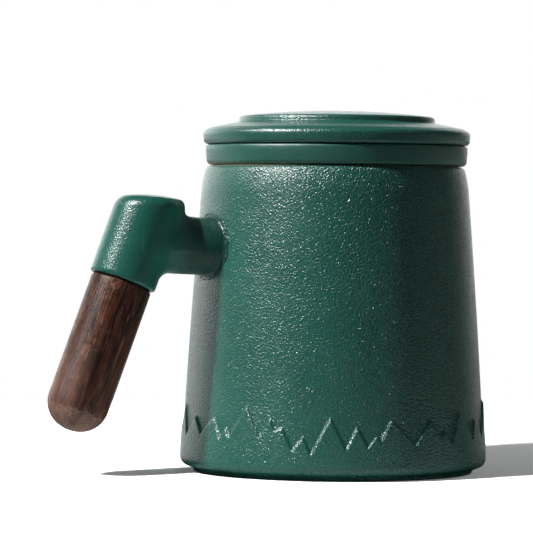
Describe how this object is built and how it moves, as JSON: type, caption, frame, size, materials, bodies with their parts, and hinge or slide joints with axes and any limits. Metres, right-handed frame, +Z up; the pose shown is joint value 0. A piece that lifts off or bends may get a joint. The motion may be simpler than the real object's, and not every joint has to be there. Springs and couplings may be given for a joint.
{
  "type": "lidded tea mug with infuser",
  "caption": "Tapered ceramic tea mug with a lift-off lid, a lift-out strainer basket hanging from its rim, and a slanted wooden side handle on a ceramic elbow socket.",
  "frame": {"origin": "on the mug's axis, on the flat surface that the foot ring stands on", "axes": "+Z up along the mug's axis, the side handle points along -X, +Y completes the right-handed set"},
  "size_m": [0.1374, 0.0924, 0.1086],
  "materials": {
    "body_glaze": "satin dark green glaze with a fine leathery pebbling",
    "infuser_glaze": "smooth satin dark green glaze",
    "lid_glaze": "smooth satin dark green glaze",
    "socket_glaze": "smooth satin dark green glaze",
    "dark_wood": "oiled dark hardwood with open pores along the grain",
    "black_rubber": "matte black silicone",
    "stud_steel": "plain zinc-plated steel",
    "insert_brass": "machined brass",
    "adhesive": "cured two-part adhesive"
  },
  "bodies": {
    "mug": {"mug_body": "body_glaze", "handle_socket": "socket_glaze", "handle_grip": "dark_wood", "grip_washer": "black_rubber", "grip_stud": "stud_steel", "socket_insert": "insert_brass", "insert_bond": "adhesive"},
    "infuser": {"infuser": "infuser_glaze"},
    "lid": {"lid": "lid_glaze"}
  },
  "joints": [
    {"name": "infuser_lift", "type": "slide", "parent": "mug", "child": "infuser", "axis": [0, 0, 1], "range_m": [0, 0.08]},
    {"name": "lid_lift", "type": "slide", "parent": "infuser", "child": "lid", "axis": [0, 0, 1], "range_m": [0, 0.04]}
  ]
}
